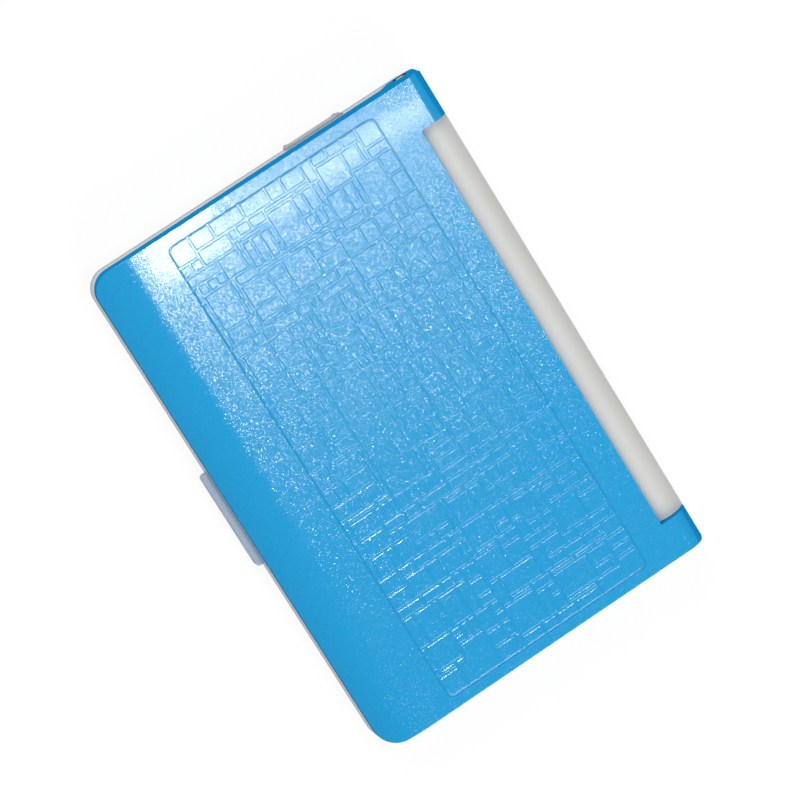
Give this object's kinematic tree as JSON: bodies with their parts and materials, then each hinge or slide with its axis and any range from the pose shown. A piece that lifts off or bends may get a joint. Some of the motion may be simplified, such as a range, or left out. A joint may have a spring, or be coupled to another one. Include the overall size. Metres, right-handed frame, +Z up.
{
  "type": "electronic dictionary",
  "caption": "Flat clamshell pocket dictionary: wedge-shaped hinged lid with a framed relief panel, screen inside, keyboard base, barrel hinge along the back and a latch tab in front.",
  "frame": {"origin": "centre of the closed object's footprint, on the surface that it stands on", "axes": "+X to the right along the hinge, +Y to the back where the hinge is, +Z up; lid closed"},
  "size_m": [0.1272, 0.0896, 0.0173],
  "materials": {
    "lid_shell": "pearl lacquer over moulded ABS",
    "white_plastic": "fine satin",
    "base_plastic": "fine satin with metal flake",
    "window": "clear",
    "display": "polariser",
    "rubber": "matt",
    "steel": "zinc plated",
    "letter_key": "satin",
    "accent_key": "satin",
    "silicone": "translucent",
    "circuit_board": "solder mask",
    "battery_foil": "satin foil",
    "black_plastic": "matt"
  },
  "bodies": {
    "base": {"bottom_case": "base_plastic", "keyboard_deck": "white_plastic", "hinge_barrel": "white_plastic", "hinge_clutch": "steel", "hinge_bush": "steel", "key_mat": "silicone", "main_board": "circuit_board", "battery": "battery_foil", "speaker": "black_plastic", "usb_socket": "steel", "earphone_jack": "black_plastic", "rubber_feet": "rubber", "case_screws": "steel"},
    "lid": {"lid_cover": "lid_shell", "lid_bezel": "white_plastic", "screen_window": "window", "display_module": "display", "lid_bumpers": "rubber", "lid_screws": "steel", "hinge_pins": "steel"},
    "battery_door": {"battery_door": "base_plastic"},
    "port_cover": {"port_cover": "base_plastic"},
    "latch_button": {"latch_button": "base_plastic", "latch_springs": "steel"},
    "page_rocker": {"page_rocker": "accent_key"},
    "key_q": {"key_q": "letter_key"},
    "key_w": {"key_w": "letter_key"},
    "key_e": {"key_e": "letter_key"},
    "key_r": {"key_r": "letter_key"},
    "key_t": {"key_t": "letter_key"},
    "key_y": {"key_y": "letter_key"},
    "key_u": {"key_u": "letter_key"},
    "key_i": {"key_i": "letter_key"},
    "key_o": {"key_o": "letter_key"},
    "key_p": {"key_p": "letter_key"},
    "key_a": {"key_a": "letter_key"},
    "key_s": {"key_s": "letter_key"},
    "key_d": {"key_d": "letter_key"},
    "key_f": {"key_f": "letter_key"},
    "key_g": {"key_g": "letter_key"},
    "key_h": {"key_h": "letter_key"},
    "key_j": {"key_j": "letter_key"},
    "key_k": {"key_k": "letter_key"},
    "key_l": {"key_l": "letter_key"},
    "key_z": {"key_z": "letter_key"},
    "key_x": {"key_x": "letter_key"},
    "key_c": {"key_c": "letter_key"},
    "key_v": {"key_v": "letter_key"},
    "key_b": {"key_b": "letter_key"},
    "key_n": {"key_n": "letter_key"},
    "key_m": {"key_m": "letter_key"},
    "key_enter": {"key_enter": "accent_key"},
    "key_shift": {"key_shift": "accent_key"},
    "key_up": {"key_up": "accent_key"},
    "key_back": {"key_back": "accent_key"},
    "key_space": {"key_space": "accent_key"},
    "key_left": {"key_left": "accent_key"},
    "key_down": {"key_down": "accent_key"},
    "key_right": {"key_right": "accent_key"},
    "key_power": {"key_power": "accent_key"}
  },
  "joints": [
    {"name": "lid_hinge", "type": "hinge", "parent": "base", "child": "lid", "pos_m": [0.00015, 0.04025, 0.0108], "axis": [-1, 0, 0], "range_deg": [0, 145]},
    {"name": "battery_door_slide", "type": "slide", "parent": "base", "child": "battery_door", "axis": [0, 1, 0], "range_m": [0, 0.034]},
    {"name": "port_cover_hinge", "type": "hinge", "parent": "base", "child": "port_cover", "pos_m": [-0.06275, 0.0116, 0.005], "axis": [0, 0, 1], "range_deg": [0, 100]},
    {"name": "latch_slide", "type": "slide", "parent": "base", "child": "latch_button", "axis": [0, 1, 0], "range_m": [0, 0.0008], "stiffness_N_per_m": 600},
    {"name": "page_rocker_tilt", "type": "hinge", "parent": "base", "child": "page_rocker", "pos_m": [0.0381, 0.0131, 0.0056], "axis": [0, 1, 0], "range_deg": [-4, 4], "stiffness_Nm_per_rad": 0.02},
    {"name": "key_q_press", "type": "slide", "parent": "base", "child": "key_q", "axis": [0, 0, -1], "range_m": [0, 0.0006], "stiffness_N_per_m": 800},
    {"name": "key_w_press", "type": "slide", "parent": "base", "child": "key_w", "axis": [0, 0, -1], "range_m": [0, 0.0006], "stiffness_N_per_m": 800},
    {"name": "key_e_press", "type": "slide", "parent": "base", "child": "key_e", "axis": [0, 0, -1], "range_m": [0, 0.0006], "stiffness_N_per_m": 800},
    {"name": "key_r_press", "type": "slide", "parent": "base", "child": "key_r", "axis": [0, 0, -1], "range_m": [0, 0.0006], "stiffness_N_per_m": 800},
    {"name": "key_t_press", "type": "slide", "parent": "base", "child": "key_t", "axis": [0, 0, -1], "range_m": [0, 0.0006], "stiffness_N_per_m": 800},
    {"name": "key_y_press", "type": "slide", "parent": "base", "child": "key_y", "axis": [0, 0, -1], "range_m": [0, 0.0006], "stiffness_N_per_m": 800},
    {"name": "key_u_press", "type": "slide", "parent": "base", "child": "key_u", "axis": [0, 0, -1], "range_m": [0, 0.0006], "stiffness_N_per_m": 800},
    {"name": "key_i_press", "type": "slide", "parent": "base", "child": "key_i", "axis": [0, 0, -1], "range_m": [0, 0.0006], "stiffness_N_per_m": 800},
    {"name": "key_o_press", "type": "slide", "parent": "base", "child": "key_o", "axis": [0, 0, -1], "range_m": [0, 0.0006], "stiffness_N_per_m": 800},
    {"name": "key_p_press", "type": "slide", "parent": "base", "child": "key_p", "axis": [0, 0, -1], "range_m": [0, 0.0006], "stiffness_N_per_m": 800},
    {"name": "key_a_press", "type": "slide", "parent": "base", "child": "key_a", "axis": [0, 0, -1], "range_m": [0, 0.0006], "stiffness_N_per_m": 800},
    {"name": "key_s_press", "type": "slide", "parent": "base", "child": "key_s", "axis": [0, 0, -1], "range_m": [0, 0.0006], "stiffness_N_per_m": 800},
    {"name": "key_d_press", "type": "slide", "parent": "base", "child": "key_d", "axis": [0, 0, -1], "range_m": [0, 0.0006], "stiffness_N_per_m": 800},
    {"name": "key_f_press", "type": "slide", "parent": "base", "child": "key_f", "axis": [0, 0, -1], "range_m": [0, 0.0006], "stiffness_N_per_m": 800},
    {"name": "key_g_press", "type": "slide", "parent": "base", "child": "key_g", "axis": [0, 0, -1], "range_m": [0, 0.0006], "stiffness_N_per_m": 800},
    {"name": "key_h_press", "type": "slide", "parent": "base", "child": "key_h", "axis": [0, 0, -1], "range_m": [0, 0.0006], "stiffness_N_per_m": 800},
    {"name": "key_j_press", "type": "slide", "parent": "base", "child": "key_j", "axis": [0, 0, -1], "range_m": [0, 0.0006], "stiffness_N_per_m": 800},
    {"name": "key_k_press", "type": "slide", "parent": "base", "child": "key_k", "axis": [0, 0, -1], "range_m": [0, 0.0006], "stiffness_N_per_m": 800},
    {"name": "key_l_press", "type": "slide", "parent": "base", "child": "key_l", "axis": [0, 0, -1], "range_m": [0, 0.0006], "stiffness_N_per_m": 800},
    {"name": "key_z_press", "type": "slide", "parent": "base", "child": "key_z", "axis": [0, 0, -1], "range_m": [0, 0.0006], "stiffness_N_per_m": 800},
    {"name": "key_x_press", "type": "slide", "parent": "base", "child": "key_x", "axis": [0, 0, -1], "range_m": [0, 0.0006], "stiffness_N_per_m": 800},
    {"name": "key_c_press", "type": "slide", "parent": "base", "child": "key_c", "axis": [0, 0, -1], "range_m": [0, 0.0006], "stiffness_N_per_m": 800},
    {"name": "key_v_press", "type": "slide", "parent": "base", "child": "key_v", "axis": [0, 0, -1], "range_m": [0, 0.0006], "stiffness_N_per_m": 800},
    {"name": "key_b_press", "type": "slide", "parent": "base", "child": "key_b", "axis": [0, 0, -1], "range_m": [0, 0.0006], "stiffness_N_per_m": 800},
    {"name": "key_n_press", "type": "slide", "parent": "base", "child": "key_n", "axis": [0, 0, -1], "range_m": [0, 0.0006], "stiffness_N_per_m": 800},
    {"name": "key_m_press", "type": "slide", "parent": "base", "child": "key_m", "axis": [0, 0, -1], "range_m": [0, 0.0006], "stiffness_N_per_m": 800},
    {"name": "key_enter_press", "type": "slide", "parent": "base", "child": "key_enter", "axis": [0, 0, -1], "range_m": [0, 0.0006], "stiffness_N_per_m": 800},
    {"name": "key_shift_press", "type": "slide", "parent": "base", "child": "key_shift", "axis": [0, 0, -1], "range_m": [0, 0.0006], "stiffness_N_per_m": 800},
    {"name": "key_up_press", "type": "slide", "parent": "base", "child": "key_up", "axis": [0, 0, -1], "range_m": [0, 0.0006], "stiffness_N_per_m": 800},
    {"name": "key_back_press", "type": "slide", "parent": "base", "child": "key_back", "axis": [0, 0, -1], "range_m": [0, 0.0006], "stiffness_N_per_m": 800},
    {"name": "key_space_press", "type": "slide", "parent": "base", "child": "key_space", "axis": [0, 0, -1], "range_m": [0, 0.0006], "stiffness_N_per_m": 800},
    {"name": "key_left_press", "type": "slide", "parent": "base", "child": "key_left", "axis": [0, 0, -1], "range_m": [0, 0.0006], "stiffness_N_per_m": 800},
    {"name": "key_down_press", "type": "slide", "parent": "base", "child": "key_down", "axis": [0, 0, -1], "range_m": [0, 0.0006], "stiffness_N_per_m": 800},
    {"name": "key_right_press", "type": "slide", "parent": "base", "child": "key_right", "axis": [0, 0, -1], "range_m": [0, 0.0006], "stiffness_N_per_m": 800},
    {"name": "key_power_press", "type": "slide", "parent": "base", "child": "key_power", "axis": [0, 0, -1], "range_m": [0, 0.0006], "stiffness_N_per_m": 800}
  ]
}
